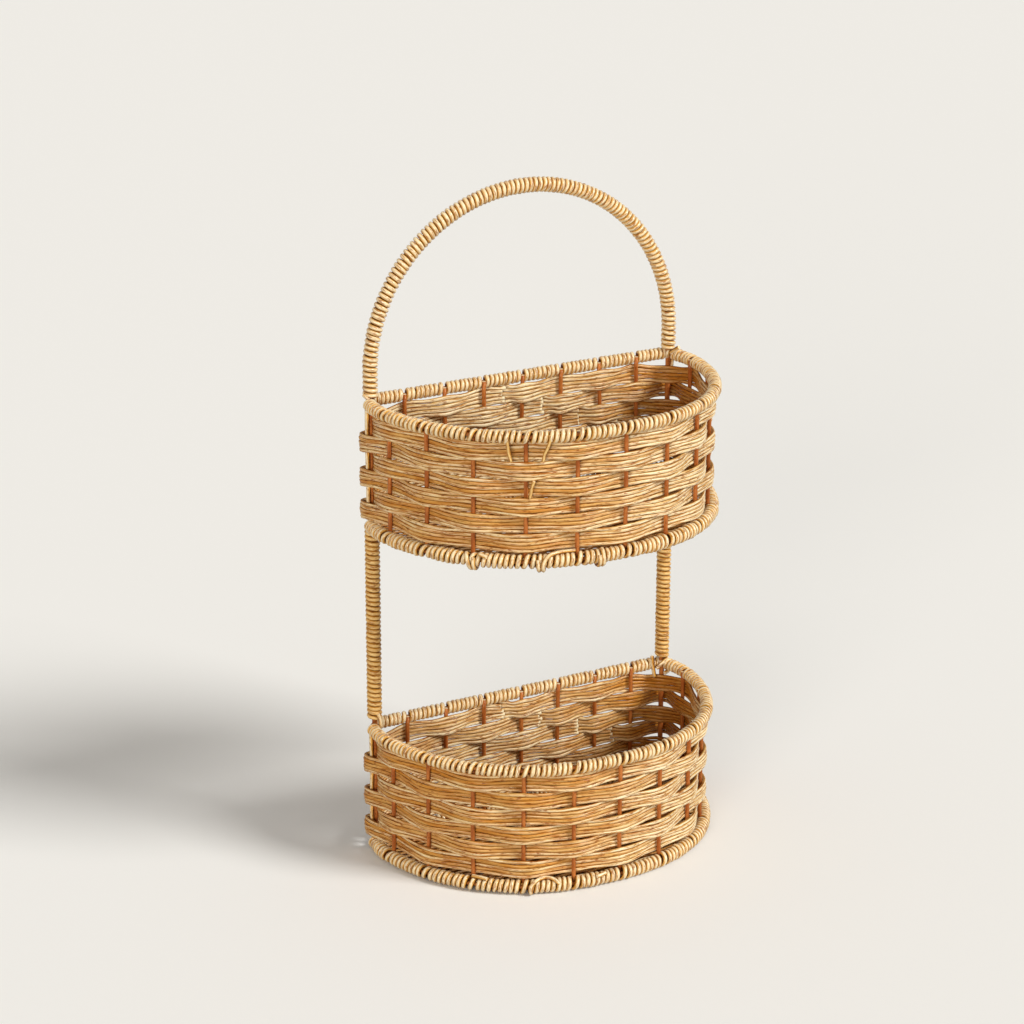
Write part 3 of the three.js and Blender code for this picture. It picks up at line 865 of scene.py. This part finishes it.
# Strands across the floor, side by side, each going over and under the cross wires on a cosine.
def addFloor(tier):
    node = tier + "_floor"
    level = middleOf(node)[2]
    wires = []
    for upright in backRing:
        x, count = upright["middle"][0], mat["wirePoints"]
        y = np.linspace(backY - mat["edge"], frontYAt(x) + mat["edge"], count)
        line = np.column_stack((np.full(count, x), y, np.full(count, level)))
        wires.append(tube(line, upward, mat["wire"], mat["wire"], mat["wireSides"]))
    addPiece(tier + "_floor_wires", wires, coating)
    first, last = backY - wrapRadius, frontY + wrapRadius
    pitch = (first - last) / mat["strands"]
    lift = mat["wire"] + mat["thick"]
    strands = []
    for k in range(mat["strands"]):
        y = first - pitch * (k + 0.5)
        reach = halfWidthAt(y) - mat["edge"]
        if y > backY - mat["legRoom"]:
            reach = legX - hangerRadius - mat["edge"] / 2
        steps = max(mat["leastSteps"], int(2 * reach / backGap * mat["stepsPerGap"]))
        x = np.linspace(-reach, reach, steps)
        wave = np.cos(math.pi * x / backGap)
        sign = 1 if k % 2 else -1
        sway = drift(x, mat["uneven"], mat["unevenWave"])
        line = np.column_stack((x, y + sway, level + sign * lift * wave))
        wide = np.reshape(pitch / 2 * (1 + mat["fan"] * wave ** 2), (-1, 1, 1))
        strands.append(tube(line, upward, mat["thick"], wide, mat["sides"]))
    addPiece(node + "_mat", strands, cane, (node,))


for tier in tiers:
    addFloor(tier)
print("floors woven")


# Studio
studio = {
    "floor": (0.9, 0.91, 0.91, 1.0), "bounce": (0.4, 0.38, 0.35, 1.0), "floorSize": 40.0,
    "floorRoughness": 0.9, "floorSpecular": 0.1,
    "world": (1.0, 0.95, 0.88, 1.0), "worldLight": 0.34, "worldSeen": 0.85,
    "lampDistance": 4.0,
}
lamps = {  # degrees round from the front and up, power, width in degrees
    "key": {"turn": 39.0, "rise": 37.0, "power": 2.65, "size": 20.0, "colour": (1.0, 0.97, 0.92)},
    "fill": {"turn": -46.0, "rise": 10.0, "power": 1.9, "size": 26.0, "colour": (1.0, 0.94, 0.86)},
}
view = {
    "azimuth": 29.634, "elevation": 19.366, "roll": 0.167, "distance": 2.3833,
    "target": (-0.05357, 0.0, 0.30352), "lens": 105.13, "sensor": 36.0, "near": 0.05, "far": 100.0,
}


# One where a surface is seen straight, in a reflection or through glass, and nought where it only
# lights the object.
def seenIn(tree):
    camera, glossy, passing = (Value(tree).node("ShaderNodeLightPath", {}, {}, f"Is {ray} Ray")
                               for ray in ("Camera", "Glossy", "Transmission"))
    return (camera + glossy + passing).clamped()


def addStage():
    half = studio["floorSize"] / 2
    corners = [(-half, -half, 0.0), (half, -half, 0.0), (half, half, 0.0), (-half, half, 0.0)]
    mesh = bpy.data.meshes.new("studio_floor")
    mesh.from_pydata(corners, [], [(0, 1, 2, 3)])
    material = bpy.data.materials.new("pale_floor")
    material.use_nodes = True
    shader = material.node_tree.nodes["Principled BSDF"]
    seenIn(material.node_tree).mix(studio["bounce"], studio["floor"]).into(shader, "Base Color")
    shader.inputs["Roughness"].default_value = studio["floorRoughness"]
    shader.inputs["Specular IOR Level"].default_value = studio["floorSpecular"]
    mesh.materials.append(material)
    floor = bpy.data.objects.new("studio_floor", mesh)
    bpy.context.collection.objects.link(floor)


def addLamp(name, settings):
    lamp = bpy.data.lights.new(name, "SUN")
    lamp.energy, lamp.color = settings["power"], settings["colour"]
    lamp.angle = math.radians(settings["size"])
    turn, rise = math.radians(settings["turn"]), math.radians(settings["rise"])
    toLamp = Vector((math.sin(turn) * math.cos(rise), -math.cos(turn) * math.cos(rise), math.sin(rise)))
    holder = bpy.data.objects.new(name, lamp)
    holder.location = Vector(view["target"]) + studio["lampDistance"] * toLamp
    holder.rotation_euler = (-toLamp).to_track_quat("-Z", "Y").to_euler()
    bpy.context.collection.objects.link(holder)


def addWorld():
    world = bpy.data.worlds.new("studio")
    world.use_nodes = True
    background = world.node_tree.nodes["Background"]
    background.inputs["Color"].default_value = studio["world"]
    light, seen = studio["worldLight"], studio["worldSeen"]
    (seenIn(world.node_tree) * (seen - light) + light).into(background, "Strength")
    bpy.context.scene.world = world


def addCamera():
    lens = bpy.data.cameras.new("photo_view")
    lens.lens, lens.sensor_width = view["lens"], view["sensor"]
    lens.clip_start, lens.clip_end = view["near"], view["far"]
    camera = bpy.data.objects.new("photo_view", lens)
    turn, tilt = math.radians(view["azimuth"]), math.radians(view["elevation"])
    look = Vector((math.sin(turn) * math.cos(tilt), math.cos(turn) * math.cos(tilt), -math.sin(tilt)))
    camera.location = Vector(view["target"]) - look * view["distance"]
    roll = Matrix.Rotation(math.radians(view["roll"]), 3, "Z")
    camera.rotation_euler = (look.to_track_quat("-Z", "Y").to_matrix() @ roll).to_euler()
    bpy.context.collection.objects.link(camera)
    bpy.context.scene.camera = camera


addStage()
for lampName, lampSettings in lamps.items():
    addLamp(lampName, lampSettings)
addWorld()
addCamera()
bpy.context.scene.view_settings.view_transform = "Standard"
print("studio lit")
